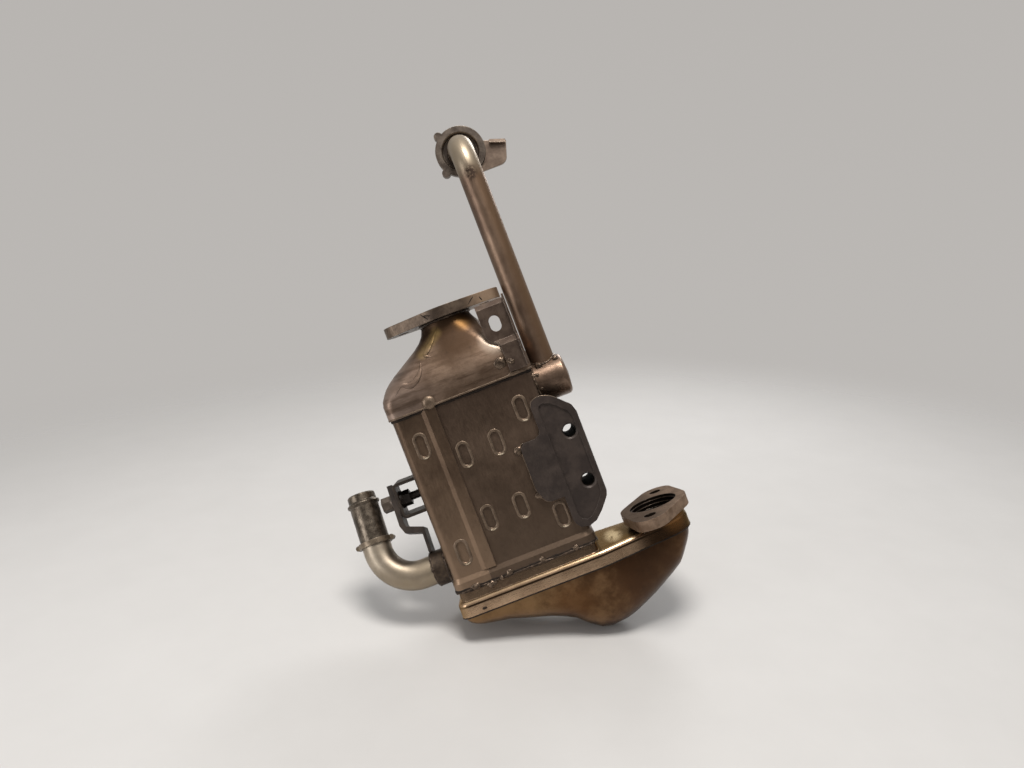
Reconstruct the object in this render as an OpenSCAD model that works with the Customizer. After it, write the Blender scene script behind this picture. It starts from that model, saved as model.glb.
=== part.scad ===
// EGR cooler: a shell-and-tube gas cooler with a drawn hood and a two-bolt gas flange at each end.
// X runs across the casing, -Y is the bracket side, Z runs along the gas tubes.
// Every module is drawn about the middle of the casing's front view; place() moves the whole part so that
// the origin is the centre of the gas outlet's gasket face. Dimensions are in millimetres.

/* [Casing] */
// Outside width of the casing
casing_w = 106; // [90:1:130]
// Outside depth of the casing
casing_d = 58; // [50:1:70]
// Middle of the casing across the part
casing_x = -5; // [-10:0.5:0]
// Upper edge of the casing, under the hood
casing_top = 66; // [62:0.5:70]
// Lower edge of the casing, over the tray's collar
casing_bottom = -72; // [-76:0.5:-70]
// Outside corner radius
casing_r = 6; // [4:0.5:10]
// Casing sheet thickness
sheet = 1.5; // [1:0.1:2]
// Gap left at the lap joints
lap_gap = 0.1; // [0.05:0.05:0.3]
// Free edge of the right half, under the lap
seam_x = -31; // [-34:0.5:-28]
// Free edge of the left half's lap
lap_x = -24.5; // [-27:0.5:-22]
// Height where the lower joggle starts
joggle_z = -62.5; // [-64:0.5:-60]
// Mouth length of a support dimple
dimple_l = 18; // [14:0.5:20]
// Mouth width of a support dimple
dimple_w = 8.5; // [6:0.5:10]
// Depth of a support dimple
dimple_h = 1.3; // [0.8:0.1:1.4]

/* [Upper hood] */
// Hood sheet thickness
hood_sheet = 1.8; // [1.2:0.1:2.2]
// Lower edge of the hood's skirt
skirt_z = 60; // [58:0.5:62]
// Gap between the skirt and the casing
skirt_gap = 0.2; // [0.1:0.05:0.4]
// Underside of the outlet flange
neck_z = 117.3; // [112:0.1:120]
// Middle of the outlet neck across the part
neck_x = 2.5; // [0:0.5:5]
// Outside radius of both gas necks
neck_r = 18.8; // [17:0.1:21]

/* [Gas flanges] */
// Flange thickness
flange_t = 7.7; // [6:0.1:10]
// Radius of the middle lobe
flange_r = 25.5; // [23:0.5:28]
// Radius of the lug ends
lug_r = 13; // [11:0.5:15]
// Bolt spacing
flange_bolts = 64; // [58:0.5:72]
// Bolt hole diameter
flange_hole = 9; // [8:0.1:10.5]
// Outlet bore diameter
outlet_bore = 34; // [30:0.5:36]
// Inlet bore diameter
inlet_bore = 36; // [30:0.5:36]
// Middle of the inlet flange across the part
inlet_x = 99; // [94:0.5:102]
// Gasket face of the inlet flange
inlet_z = -68; // [-70:0.5:-64]
// Turn of the inlet flange's bolt line from X
inlet_turn = 75; // [60:1:90]

/* [Lower hood] */
// Tray's upper face
tray_z = -79.5; // [-82:0.5:-78]
// Lower edge of the tray's rim
rim_z = -91; // [-94:0.5:-88]
// Overhang of the rim past the casing's left wall
rim_out_x = 3.5; // [3:0.5:6]
// Overhang of the rim past the casing's broad walls
rim_out_y = 2.5; // [2:0.5:5]
// Corner radius of the rim
rim_r = 8; // [7:0.5:12]
// Where the rim starts to narrow
shoulder_x = 46; // [40:1:52]
// Radius at which it starts to narrow
shoulder_r = 30; // [12:1:31]
// Radius of the rim around the inlet
rim_end_r = 21; // [19:0.1:24]
// Bend radius of the rim's upper edge
rim_bend = 3.5; // [2.5:0.1:4.5]

/* [Gas tubes] */
// Gap between the casing wall and the tubes
tube_margin = 2.8; // [2:0.1:4]
// Gap between the two columns of tubes
tube_gap = 3.6; // [2:0.1:6]
// Tube height
tube_h = 6.4; // [5:0.1:7]
// Tube wall
tube_wall = 0.7; // [0.5:0.1:1]
// Rows of tubes
tube_rows = 6; // [4:1:6]
// Tube plate thickness
plate_t = 2.5; // [2:0.1:4]

/* [Coolant outlet] */
// Height of the cup's axis
cup_z = 47.2; // [45:0.1:49]
// Cup diameter
cup_d = 31; // [28:0.5:33]
// Cup length from the casing
cup_l = 27; // [22:0.5:28]
// Distance from the casing to the pipe's axis
pipe_out = 11.7; // [11:0.1:13]
// Outside diameter of the pipe
pipe_d = 18.6; // [17:0.1:20]
// Pipe wall
pipe_wall = 1.2; // [0.8:0.1:1.5]
// Height where the pipe's bend starts
bend_z = 214; // [205:1:225]
// Bend radius of the pipe
bend_r = 22; // [20:0.5:26]
// Diameter of the end fitting
fitting_d = 39; // [36:0.5:42]

/* [Coolant inlet] */
// Height of the elbow's stub
elbow_z = -54.3; // [-56:0.1:-52]
// Depth of the elbow's stub
elbow_y = -8; // [-12:0.5:0]
// Lean of the elbow to the back
elbow_lean = 17; // [0:1:22]
// Outside diameter of the elbow
elbow_d = 21.6; // [19:0.1:23]
// Bend radius of the elbow
elbow_r = 28; // [24:0.5:32]
// Distance from the casing to the upright leg
elbow_reach = 48.5; // [45:0.5:52]
// Length along the upright leg to the joint
joint_h = 34.2; // [32:0.1:40]
// Length along the upright leg to the end
nipple_h = 72.6; // [70:0.1:80]
// Outside diameter of the nipple
nipple_d = 22; // [20:0.1:23]

/* [Brackets] */
// Front bracket thickness
bracket_t = 3.4; // [2.8:0.1:4]
// Height of the upper bracket hole
hole_z = 9; // [5:0.5:12]
// Distance between the bracket holes
hole_pitch = 37.5; // [34:0.5:42]
// Distance of the bracket holes from the casing's right wall
hole_out = 10.7; // [9:0.1:10.7]
// Diameter of the bracket holes
hole_d = 9.5; // [9:0.1:11]
// Length of the spacer sleeves
sleeve_l = 44; // [20:1:50]
// Wall of the spacer sleeves
sleeve_wall = 1.5; // [1:0.1:1.6]
// Width of the side straps
strap_w = 20; // [14:1:22]
// Thickness of the side straps
strap_t = 2.4; // [2:0.1:3]
// Height of the stay bolt
bolt_z = 1; // [-1:0.5:3]

/* [Hidden] */
$fa = 6;
$fs = 0.6;
eps = 0.01;
casing_left_x = casing_x - casing_w / 2;
casing_right_x = casing_x + casing_w / 2;
front_y = -casing_d / 2;
lap_h = sheet + lap_gap;
outlet_z = neck_z + flange_t;
lug_tan = acos((flange_r - lug_r) / (flange_bolts / 2));
bolt_y = elbow_y + (bolt_z - elbow_z) * tan(elbow_lean);
stay_x = casing_left_x - 22.1;
stay_t = 4;
skirt_out = skirt_gap + hood_sheet;
rim_left = casing_left_x - rim_out_x;
rim_y = casing_d / 2 + rim_out_y;
rim_lip = -6;
pipe_x = casing_right_x + pipe_out;
hole_x = casing_right_x + hole_out;
tube_w = (casing_w - 2 * sheet - 2 * tube_margin - tube_gap) / 2;
tube_columns = tube_w + tube_gap;
tube_pitch = (casing_d - 2 * sheet - 2 * tube_margin - tube_h) / (tube_rows - 1);

// Hood stations from the skirt to the neck: the share of the way done in height, by the left, right and broad
// walls, and by the left and right corner radii
hood_stations = [
  [0, 0, 0, 0, 0, 0],
  [0.105, 0, 0, 0, 0, 0],
  [0.192, 0, 0, 0, 0, 0],
  [0.262, 0.018, 0.028, 0.033, 0.093, 0.093],
  [0.332, 0.064, 0.13, 0.098, 0.37, 0.278],
  [0.393, 0.114, 0.29, 0.172, 0.648, 0.37],
  [0.454, 0.188, 0.4, 0.262, 0.926, 0.463],
  [0.524, 0.309, 0.49, 0.377, 1.111, 0.556],
  [0.593, 0.458, 0.555, 0.5, 1.111, 0.648],
  [0.663, 0.606, 0.625, 0.623, 1.065, 0.741],
  [0.733, 0.755, 0.705, 0.746, 1.019, 0.787],
  [0.803, 0.874, 0.8, 0.852, 0.972, 0.833],
  [0.873, 0.952, 0.9, 0.934, 0.954, 0.88],
  [0.942, 0.991, 0.97, 0.984, 0.972, 0.972],
  [1, 1, 1, 1, 1, 1]
];

// Depth of the lower shell below the rim, along the part
shell_depth = [
  [-61, 12.5], [-55, 13.6], [-45, 14.8], [-30, 17.7], [-16, 22.8], [-1, 27.8], [9, 32.4], [17.5, 37.6],
  [24, 45], [30, 49.4], [38, 51.5], [51, 50.3], [61, 47.3], [77, 40.3], [90, 33.3], [98, 28.7],
  [103, 25.5], [109, 19.5], [114, 15.4], [119, 11]
];

// Dimples on both broad faces, as [x, z]
left_dimples = [for (z = [36, -45.5]) [casing_left_x + 14.5, z]];
right_dimples = [
  for (x = [lap_x + 7.5, lap_x + 32]) for (z = [19.5, -29]) [x, z],
  for (z = [36, -45.5]) [casing_right_x - 15.7, z]
];

// Moves the part so that the origin is the centre of the outlet's gasket face
module place() {
  translate([-neck_x, 0, -outlet_z]) children();
}

// Points of an arc about c
function arc(c, r, a0, a1, n) =
  [for (i = [0:n]) c + r * [cos(a0 + (a1 - a0) * i / n), sin(a0 + (a1 - a0) * i / n)]];

// Points between a and b, without the ends
function between(a, b, n) = [for (i = [1:n - 1]) a + (b - a) * i / n];

// Closed skin through rings of equal point count; loop joins the last ring to the first
module skin(rings, loop, caps = []) {
  n = len(rings[0]);
  m = len(rings);
  points = [for (ring = rings) each ring];
  sides = [for (j = [0:m - (loop ? 1 : 2)]) for (i = [0:n - 1])
    let (a = j * n + i, b = j * n + (i + 1) % n, k = (j + 1) % m)
    let (c = k * n + (i + 1) % n, d = k * n + i)
    each [[a, c, b], [a, d, c]]];
  polyhedron(points, concat(sides, caps));
}

// Sweeps a profile of [outward offset, height] around a rounded rectangle
module wall_loop(w, d, r) {
  for (turn = [0, 180]) {
    rotate(turn) {
      translate([-w / 2 + r, d / 2, 0]) rotate([90, 0, 90]) linear_extrude(w - 2 * r) children();
      translate([w / 2, d / 2 - r, 0]) rotate([90, 0, 0]) linear_extrude(d - 2 * r) children();
      translate([w / 2 - r, d / 2 - r, 0]) rotate_extrude(angle = 90) translate([r, 0]) children();
      translate([w / 2 - r, -d / 2 + r, 0])
        rotate(-90) rotate_extrude(angle = 90) translate([r, 0]) children();
    }
  }
}

// Flat rounded rectangle
module rounded(w, d, r) {
  square([w - 2 * r, d], center = true);
  square([w, d - 2 * r], center = true);
  for (x = [-1, 1]) {
    for (y = [-1, 1]) {
      translate([x * (w / 2 - r), y * (d / 2 - r)]) circle(r);
    }
  }
}

// Flat slot of full length l along X
module slot(l, w) {
  square([l - w, w], center = true);
  for (x = [-1, 1]) {
    translate([x * (l - w) / 2, 0]) circle(w / 2);
  }
}

// Tapered slot that opens upward at z = 0, long side along Y
module tapered_slot(l, w, floor_w, h) {
  e = (l - w) / 2;
  for (y = [-e, e]) {
    translate([0, y, -h]) cylinder(h = h, d1 = floor_w, d2 = w);
  }
  translate([0, e, 0])
    rotate([90, 0, 0])
      linear_extrude(2 * e)
        polygon([[-floor_w / 2, -h], [floor_w / 2, -h], [w / 2, 0], [-w / 2, 0]]);
}

// Moves a shape drawn facing up to the front or the back of the casing
module on_face(side, x, z) {
  translate([x, side * casing_d / 2, z]) rotate([side < 0 ? 90 : -90, 0, 0]) children();
}

// One casing wall all round, with the joggled lower edge
module casing_wall() {
  translate([casing_x, 0, 0])
    wall_loop(casing_w, casing_d, casing_r)
      polygon([[0, casing_top], [0, joggle_z], [lap_h, joggle_z - 3.5], [lap_h, casing_bottom],
        [lap_gap, casing_bottom], [lap_gap, joggle_z - 4.2], [-sheet, joggle_z - 0.7], [-sheet, casing_top]]);
}

module dimple_bosses(spots) {
  for (side = [-1, 1]) {
    for (s = spots) {
      on_face(side, s[0], s[1])
        translate([0, 0, -sheet - dimple_h])
          linear_extrude(sheet)
            rotate(90)
              slot(dimple_l - 1, dimple_w - 1);
    }
  }
}

module dimple_cuts(spots) {
  for (side = [-1, 1]) {
    for (s = spots) {
      on_face(side, s[0], s[1]) tapered_slot(dimple_l, dimple_w, dimple_w - 2.4, dimple_h);
    }
  }
}

module casing_left() {
  color([0.50, 0.47, 0.43]) difference() {
    union() {
      intersection() {
        casing_wall();
        translate([casing_left_x - 5, -40, -100]) cube([seam_x - lap_gap - casing_left_x + 5, 80, 200]);
      }
      for (side = [0, 1]) {
        mirror([0, side, 0])
          translate([0, front_y, joggle_z])
            linear_extrude(skirt_z - joggle_z - 0.5)
              polygon([[seam_x - 4.5, 0], [seam_x - 1.3, -lap_h], [lap_x, -lap_h], [lap_x, -lap_gap],
                [seam_x - lap_gap, -lap_gap], [seam_x - lap_gap, 0]]);
      }
      dimple_bosses(left_dimples);
    }
    dimple_cuts(left_dimples);
    translate([casing_left_x - 4, elbow_y, elbow_z]) rotate([0, 90, 0]) cylinder(h = 8, d = elbow_d + 0.2);
  }
}

module casing_right() {
  color([0.44, 0.40, 0.36]) difference() {
    union() {
      intersection() {
        casing_wall();
        translate([seam_x, -40, -100]) cube([casing_right_x - seam_x + 5, 80, 200]);
      }
      dimple_bosses(right_dimples);
    }
    dimple_cuts(right_dimples);
    translate([casing_right_x - 3, 0, cup_z]) rotate([0, 90, 0]) cylinder(h = 4, d = cup_d - 6);
  }
}

// Value a share f of the way from a to b
function mix(a, b, f) = a + (b - a) * f;

// Ring of a hood station, with the sheet taken off by inset and the height lowered by drop
function hood_ring(s, inset, drop) =
  let (corner = casing_r + skirt_out, z = mix(skirt_z, neck_z, s[0]) - drop)
  let (x0 = mix(casing_left_x - skirt_out, neck_x - neck_r, s[1]) + inset)
  let (x1 = mix(casing_right_x + skirt_out, neck_x + neck_r, s[2]) - inset)
  let (y = mix(casing_d / 2 + skirt_out, neck_r, s[3]) - inset)
  let (rl = mix(corner, neck_r, s[4]) - inset, rr = mix(corner, neck_r, s[5]) - inset)
  let (corners = [[x1 - rr, y - rr, rr, 0], [x0 + rl, y - rl, rl, 90],
    [x0 + rl, rl - y, rl, 180], [x1 - rr, rr - y, rr, 270]])
  [for (c = corners) for (p = arc([c[0], c[1]], c[2], c[3], c[3] + 90, 12)) [p[0], p[1], z]];

module upper_hood() {
  top = len(hood_stations) - 1;
  outer = [for (s = hood_stations) hood_ring(s, 0, 0)];
  inner = [for (i = [top:-1:0]) hood_ring(hood_stations[i], hood_sheet, 1.2 * sin(180 * hood_stations[i][0]))];
  color([0.55, 0.49, 0.41]) skin(concat(outer, inner), true);
}

// Two-lug flange, lugs along X, with straight sides that touch the lobe and the lug ends
module gas_flange(bore) {
  a = flange_r * [cos(lug_tan), sin(lug_tan)];
  b = lug_r * [cos(lug_tan), sin(lug_tan)] + [flange_bolts / 2, 0];
  difference() {
    union() {
      cylinder(h = flange_t, r = flange_r);
      for (side = [-1, 1]) {
        translate([side * flange_bolts / 2, 0, 0]) cylinder(h = flange_t, r = lug_r);
      }
      linear_extrude(flange_t)
        polygon([a, b, [b[0], -b[1]], [a[0], -a[1]], [-a[0], -a[1]], [-b[0], -b[1]], [-b[0], b[1]],
          [-a[0], a[1]]]);
    }
    translate([0, 0, -1]) cylinder(h = flange_t + 2, d = bore);
    for (side = [-1, 1]) {
      translate([side * flange_bolts / 2, 0, -1]) cylinder(h = flange_t + 2, d = flange_hole);
    }
  }
}

module outlet_flange() {
  color([0.52, 0.49, 0.45]) translate([neck_x, 0, neck_z]) gas_flange(outlet_bore);
}

module inlet_flange() {
  color([0.52, 0.48, 0.42]) translate([inlet_x, 0, inlet_z - flange_t]) rotate(inlet_turn) gas_flange(inlet_bore);
}

// Joggled tab with an oblong hole and a lip turned forward along its right edge
module hood_tab() {
  color([0.45, 0.42, 0.39])
    translate([casing_right_x, front_y - skirt_out, skirt_z]) {
      difference() {
        intersection() {
          translate([-28, 0, 0])
            rotate([90, 0, 90])
              linear_extrude(27.5)
                polygon([[-2, 3], [-2, 23], [2, 27], [2, 51.5], [5, 55], [6.5, 53.7], [4, 50.8], [4, 27.8],
                  [0, 23.8], [0, 3]]);
          translate([0, 20, 0])
            rotate([90, 0, 0])
              linear_extrude(40) {
                translate([-21.5, 34]) square([22, 22]);
                translate([-13.5, 0]) square([14, 40]);
                translate([-13.5, 34]) circle(8);
              }
        }
        translate([-11.5, 10, 39]) rotate([90, 0, 0]) linear_extrude(20) rotate(90) slot(11.5, 8);
      }
      translate([-0.5, 0, 0])
        rotate([90, 0, 90])
          linear_extrude(1.5)
            polygon([[-5, 4], [-5, 23], [-1, 27], [-1, 57], [3, 57], [4, 54], [4, 27.8], [0, 23.8], [0, 4]]);
    }
}

// Angle at which the rim's straight flank meets both of its arcs
function rim_tan() =
  let (d = [inlet_x - shoulder_x, shoulder_r - rim_y])
  atan2(d[1], d[0]) + acos((shoulder_r - rim_end_r) / norm(d));

// Half outline of the lower hood's rim, moved outward by u: inlet arc, flank, shoulder, side, corner and end
function rim_half(u) =
  let (t = rim_tan(), left = [rim_left + rim_r, rim_y - rim_r], end = [rim_left - u, 0])
  let (a = arc([inlet_x, 0], rim_end_r + u, 0, t, 8))
  let (b = arc([shoulder_x, rim_y - shoulder_r], shoulder_r + u, t, 90, 3))
  let (c = arc(left, rim_r + u, 90, 180, 4))
  concat(a, between(a[8], b[0], 6), b, between(b[3], c[0], 13), c, between(c[4], end, 4), [end]);

// Whole outline of the rim
function rim_full(u) =
  let (half = rim_half(u))
  concat(half, [for (i = [len(half) - 2:-1:1]) [half[i][0], -half[i][1]]]);

// Rim with its rolled upper edge; it ends inward at a straight lip
module tray_rim() {
  t = hood_sheet;
  c = [-rim_bend, tray_z - rim_bend];
  profile = concat(
    [[0, rim_z]],
    arc(c, rim_bend, 0, 90, 4),
    [[rim_lip, tray_z], [rim_lip, tray_z - t]],
    arc(c, rim_bend - t, 90, 0, 4),
    [[-t, rim_z]]
  );
  skin([for (q = profile) [for (p = rim_full(q[0])) [p[0], p[1], q[1]]]], true);
}

// Neck that flares into the tray
module tray_neck() {
  flare = 10;
  top = inlet_z - flange_t;
  rise = top - tray_z;
  t = hood_sheet;
  outer = [for (i = [0:6]) [neck_r + flare - flare * cos(15 * i), top - rise * sin(15 * i)]];
  inner = [[neck_r + flare, tray_z - t], [neck_r - t, tray_z - t], [neck_r - t, top]];
  intersection() {
    translate([inlet_x, 0, 0]) rotate_extrude() polygon(concat(outer, inner));
    translate([0, 0, tray_z - 10]) linear_extrude(20) polygon(rim_full(-0.6));
  }
}

module lower_tray() {
  color([0.55, 0.45, 0.31]) {
    difference() {
      union() {
        tray_rim();
        translate([0, 0, tray_z - hood_sheet]) linear_extrude(hood_sheet) polygon(rim_full(rim_lip + 1));
      }
      translate([casing_x, 0, tray_z - 10])
        linear_extrude(20)
          rounded(casing_w - 2 * sheet, casing_d - 2 * sheet, casing_r - sheet);
      translate([inlet_x, 0, tray_z - 5]) cylinder(h = 20, r = neck_r - hood_sheet);
    }
    tray_neck();
    translate([casing_x, 0, 0])
      wall_loop(casing_w, casing_d, casing_r)
        translate([-sheet, tray_z - 1])
          square([sheet, joggle_z - 5 - tray_z + 1]);
  }
}

// Ring of the lower shell: c runs from 1 at the rim to 0 at the keel
function shell_ring(u, c, t) =
  let (g = pow(1 - pow(c, 2.3), 1 / 2.3))
  [for (p = rim_full(u))
    let (k = [min(max(p[0], -30), inlet_x), 0], crown = p[0] < -30 ? 0.4 * (1 - c) * pow(p[1] / rim_y, 2) : 0)
    let (x = k[0] + c * (p[0] - k[0]) * (1 - crown))
    [x, c * p[1], rim_z - (lookup(x, shell_depth) - t) * g]];

module lower_shell() {
  u = -hood_sheet - lap_gap;
  t = hood_sheet;
  steps = [0.06, 0.2, 0.36, 0.52, 0.66, 0.78, 0.87, 0.94, 0.985, 1];
  lift = [0, 0, 5];
  outer = [for (c = steps) shell_ring(u, c, 0)];
  inner = [for (i = [len(steps) - 1:-1:0]) shell_ring(u - t, steps[i], t)];
  rings = concat(outer, [[for (p = outer[9]) p + lift]], [[for (p = inner[0]) p + lift]], inner);
  n = len(rings[0]);
  h = n / 2;
  first = [for (i = [0:h - 1]) each [[i, i + 1, (n - i - 1) % n], [i, (n - i - 1) % n, (n - i) % n]]];
  base = (len(rings) - 1) * n;
  last = [for (f = first) [base + f[0], base + f[2], base + f[1]]];
  keep = [for (f = concat(first, last)) if (f[0] != f[1] && f[1] != f[2] && f[0] != f[2]) f];
  color([0.52, 0.41, 0.25]) skin(rings, false, keep);
}

// Outline of the front bracket: main plate with a welded tongue on its left
module bracket_outline() {
  translate([casing_right_x, 0])
    polygon([[-9.5, -52], [-8.5, -55], [-6, -58], [0, -59.5], [6, -57.5], [12, -52], [19, -43.5], [20.5, -40],
      [20.5, 20], [18.5, 26], [12, 32.5], [7, 37], [-1, 40], [-7.5, 38.5], [-9.5, 35], [-9.5, 17], [-11, 14],
      [-14.5, 12.3], [-23.5, 12.3], [-26.5, 9], [-26.5, -23], [-23, -31.5], [-19, -33.5], [-9.5, -33.5]]);
}

// Pressed panel of the bracket, inside its border
module bracket_panel() {
  translate([casing_right_x, 0])
    polygon([[-5, -48], [-3.5, -52.5], [0, -54.5], [4, -53.5], [9.5, -48.5], [15, -41.5], [16.3, -38], [16.3, 18],
      [14.5, 23], [9, 28.5], [4, 32.5], [-1, 34], [-4, 33], [-5, 30]]);
}

// Pressed bracket: flat tongue, plate with a sunk panel and the holes, and an outer edge rolled to the back
module mounting_bracket() {
  t = bracket_t;
  sink = 1.1;
  roll = 4;
  edge = 20.5;
  color([0.34, 0.31, 0.30]) difference() {
    intersection() {
      translate([0, front_y + 12, 0]) rotate([90, 0, 0]) linear_extrude(20) bracket_outline();
      translate([casing_right_x, front_y, -70])
        linear_extrude(140)
          polygon(concat(
            [[-30, 0], [-30, -t]],
            arc([edge - roll, roll - t], roll, -90, 0, 8),
            [[edge, 14], [edge - t, 14], [edge - t, 0]]
          ));
    }
    translate([0, front_y - t + sink, 0]) rotate([90, 0, 0]) linear_extrude(5) bracket_panel();
    for (z = [hole_z, hole_z - hole_pitch]) {
      translate([hole_x, 0, z]) rotate([90, 0, 0]) cylinder(h = 60, d = hole_d);
      translate([hole_x, front_y - t + sink - eps, z])
        rotate([-90, 0, 0])
          cylinder(h = 1, d1 = hole_d + 2.4, d2 = hole_d);
    }
  }
}

module bracket_sleeves() {
  color([0.30, 0.28, 0.27])
    for (z = [hole_z, hole_z - hole_pitch]) {
      translate([hole_x, front_y, z])
        rotate([-90, 0, 0])
          difference() {
            cylinder(h = sleeve_l, d = hole_d + 2 * sleeve_wall);
            translate([0, 0, -1]) cylinder(h = sleeve_l + 2, d = hole_d);
          }
    }
}

// Drawn cup on the right wall, closed by a shallow dome
module coolant_cup() {
  r = cup_d / 2;
  t = sheet;
  l = cup_l;
  color([0.55, 0.50, 0.45]) difference() {
    translate([casing_right_x, 0, cup_z])
      rotate([0, 90, 0])
        rotate_extrude()
          polygon(concat(
            [[r - t, 0], [r, 0]],
            arc([r - 3, l - 4.5], 3, 0, 75, 5),
            [[0, l], [0, l - t]],
            arc([r - 3, l - 4.5], 3 - t, 75, 0, 4)
          ));
    translate([pipe_x, 0, cup_z]) cylinder(h = 30, d = pipe_d + 0.1);
    translate([casing_right_x - 1, -40, skirt_z - 0.1]) cube([skirt_out + 1.1, 80, 20]);
  }
}

// Profile of a tube's wall
module ring_wall(d, t) {
  difference() {
    circle(d = d);
    circle(d = d - 2 * t);
  }
}

module coolant_pipe() {
  low = cup_z + cup_d / 2 - 6;
  end_y = 40;
  color([0.60, 0.53, 0.43]) {
    translate([pipe_x, 0, low]) linear_extrude(bend_z - low) ring_wall(pipe_d, pipe_wall);
    translate([pipe_x, bend_r, bend_z])
      rotate([0, -90, 0])
        rotate(-90)
          rotate_extrude(angle = 90)
            translate([bend_r, 0])
              ring_wall(pipe_d, pipe_wall);
    translate([pipe_x, bend_r, bend_z + bend_r])
      rotate([-90, 0, 0])
        linear_extrude(end_y - bend_r)
          ring_wall(pipe_d, pipe_wall);
  }
}

// Round end fitting: dished disc in front, plug with a seal groove behind
module pipe_flange() {
  r = fitting_d / 2;
  bore = pipe_d / 2 + 0.05;
  color([0.58, 0.56, 0.53]) difference() {
    union() {
      translate([pipe_x, 29, bend_z + bend_r])
        rotate([-90, 0, 0])
          rotate_extrude()
            polygon([[bore, 3.6], [13.4, 3.6], [14.2, 0.8], [15, 0], [r, 0], [r, 5], [12.5, 5], [12.5, 7], [11.2, 7],
              [11.2, 9.4], [12.5, 9.4], [12.5, 11], [bore, 11]]);
      for (a = [127, 217]) {
        translate([pipe_x + (r + 0.8) * cos(a), 29, bend_z + bend_r + (r + 0.8) * sin(a)])
          rotate([-90, 0, 0])
            cylinder(h = 5, r = 3.4);
      }
    }
    translate([pipe_x, 20, bend_z + bend_r]) rotate([-90, 0, 0]) cylinder(h = 30, r = bore);
  }
}

module pipe_o_ring() {
  color([0.08, 0.08, 0.08])
    translate([pipe_x, 29 + 8.2, bend_z + bend_r])
      rotate([-90, 0, 0])
        rotate_extrude()
          translate([12.4, 0])
            circle(r = 1.1);
}

// Pressed tab with a folded upper edge, behind the disc's front face
module pipe_tab() {
  r = fitting_d / 2 + 0.05;
  color([0.55, 0.53, 0.51])
    translate([pipe_x, 31, bend_z + bend_r])
      difference() {
        union() {
          translate([0, 2, 0])
            rotate([90, 0, 0])
              linear_extrude(2)
                polygon(concat([[10, -20.6]], arc([26.3, -14.1], 6.5, -90, -18, 6), [[36.4, -4.1], [10, 5]]));
          translate([23.9, 0, 0.2])
            rotate([0, 19, 0])
              rotate([90, 0, 90])
                linear_extrude(12.6)
                  polygon([[2, 0.8], [-1, 0.8], [-3.4, -2.2], [-2.6, -2.9], [-0.6, -0.6], [0, -0.4], [0, -1.5], [2, -1.5]]);
        }
        translate([0, -10, 0]) rotate([-90, 0, 0]) cylinder(h = 30, r = r);
      }
}

// Moves a shape from the elbow's own axes: x along the stub, z up the leaning leg
module at_elbow() {
  translate([casing_left_x, elbow_y, elbow_z]) rotate([-elbow_lean, 0, 0]) children();
}

module inlet_collar() {
  color([0.50, 0.46, 0.40]) difference() {
    at_elbow() rotate([0, -90, 0]) cylinder(h = 11.5, d = 26);
    at_elbow() translate([1, 0, 0]) rotate([0, -90, 0]) cylinder(h = 20, d = elbow_d + 0.1);
    translate([casing_left_x - lap_h - 0.05, -50, joggle_z - 49.9]) cube([10, 100, 50]);
  }
}

module elbow_pipe() {
  t = pipe_wall;
  color([0.66, 0.62, 0.54])
    at_elbow() {
      translate([sheet, 0, 0]) rotate([0, -90, 0]) linear_extrude(elbow_reach - elbow_r + sheet) ring_wall(elbow_d, t);
      translate([elbow_r - elbow_reach, 0, elbow_r])
        rotate([90, 0, 0])
          rotate(180)
            rotate_extrude(angle = 90)
              translate([elbow_r, 0])
                ring_wall(elbow_d, t);
      translate([-elbow_reach, 0, elbow_r]) linear_extrude(joint_h - elbow_r) ring_wall(elbow_d, t);
    }
}

// Nipple whose spigot plugs into the elbow; the bead holds the hose
module hose_nipple() {
  ri = elbow_d / 2 - pipe_wall - 0.05;
  bore = ri - 1.2;
  r = nipple_d / 2;
  bead = joint_h + 30.8;
  color([0.68, 0.66, 0.62])
    at_elbow()
      translate([-elbow_reach, 0, 0])
        rotate_extrude()
          polygon([[bore, joint_h - 8], [ri, joint_h - 8], [ri, joint_h + 0.05], [r, joint_h + 0.05],
            [r, bead - 2], [r + 1.1, bead - 0.9], [r + 1.5, bead], [r + 1.1, bead + 0.9], [r - 0.4, bead + 2],
            [r - 0.4, nipple_h - 0.8], [r - 1.2, nipple_h], [bore, nipple_h]]);
}

module nipple_clip() {
  color([0.58, 0.55, 0.50])
    at_elbow()
      translate([-elbow_reach, 0, joint_h - 2])
        difference() {
          union() {
            cylinder(h = 4, d = nipple_d + 3.2);
            for (side = [-1, 1]) {
              translate([side * (nipple_d / 2 + 2.2), 0, 2]) rotate([90, 0, 0]) cylinder(h = 5, r = 2, center = true);
            }
          }
          translate([0, 0, -1]) cylinder(h = 6, d = nipple_d + 0.1);
        }
}

// Strap welded to the left wall
module u_bracket() {
  x1 = stay_x + 0.1;
  t = strap_t;
  z0 = bolt_z - 13.5;
  z1 = bolt_z + 14;
  r = 4;
  color([0.50, 0.48, 0.46]) difference() {
    translate([0, bolt_y + strap_w / 2, 0])
      rotate([90, 0, 0])
        linear_extrude(strap_w)
          difference() {
            union() {
              translate([x1 + r, z0]) square([casing_left_x - x1 - r, z1 - z0]);
              translate([x1, z0 + r]) square([r + 1, z1 - z0 - 2 * r]);
              translate([x1 + r, z0 + r]) circle(r);
              translate([x1 + r, z1 - r]) circle(r);
            }
            translate([x1 + t, z0 + t]) square([40, z1 - z0 - 2 * t]);
          }
    translate([x1 - 5, bolt_y, bolt_z]) rotate([0, 90, 0]) cylinder(h = 10, d = 6.6);
  }
}

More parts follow.
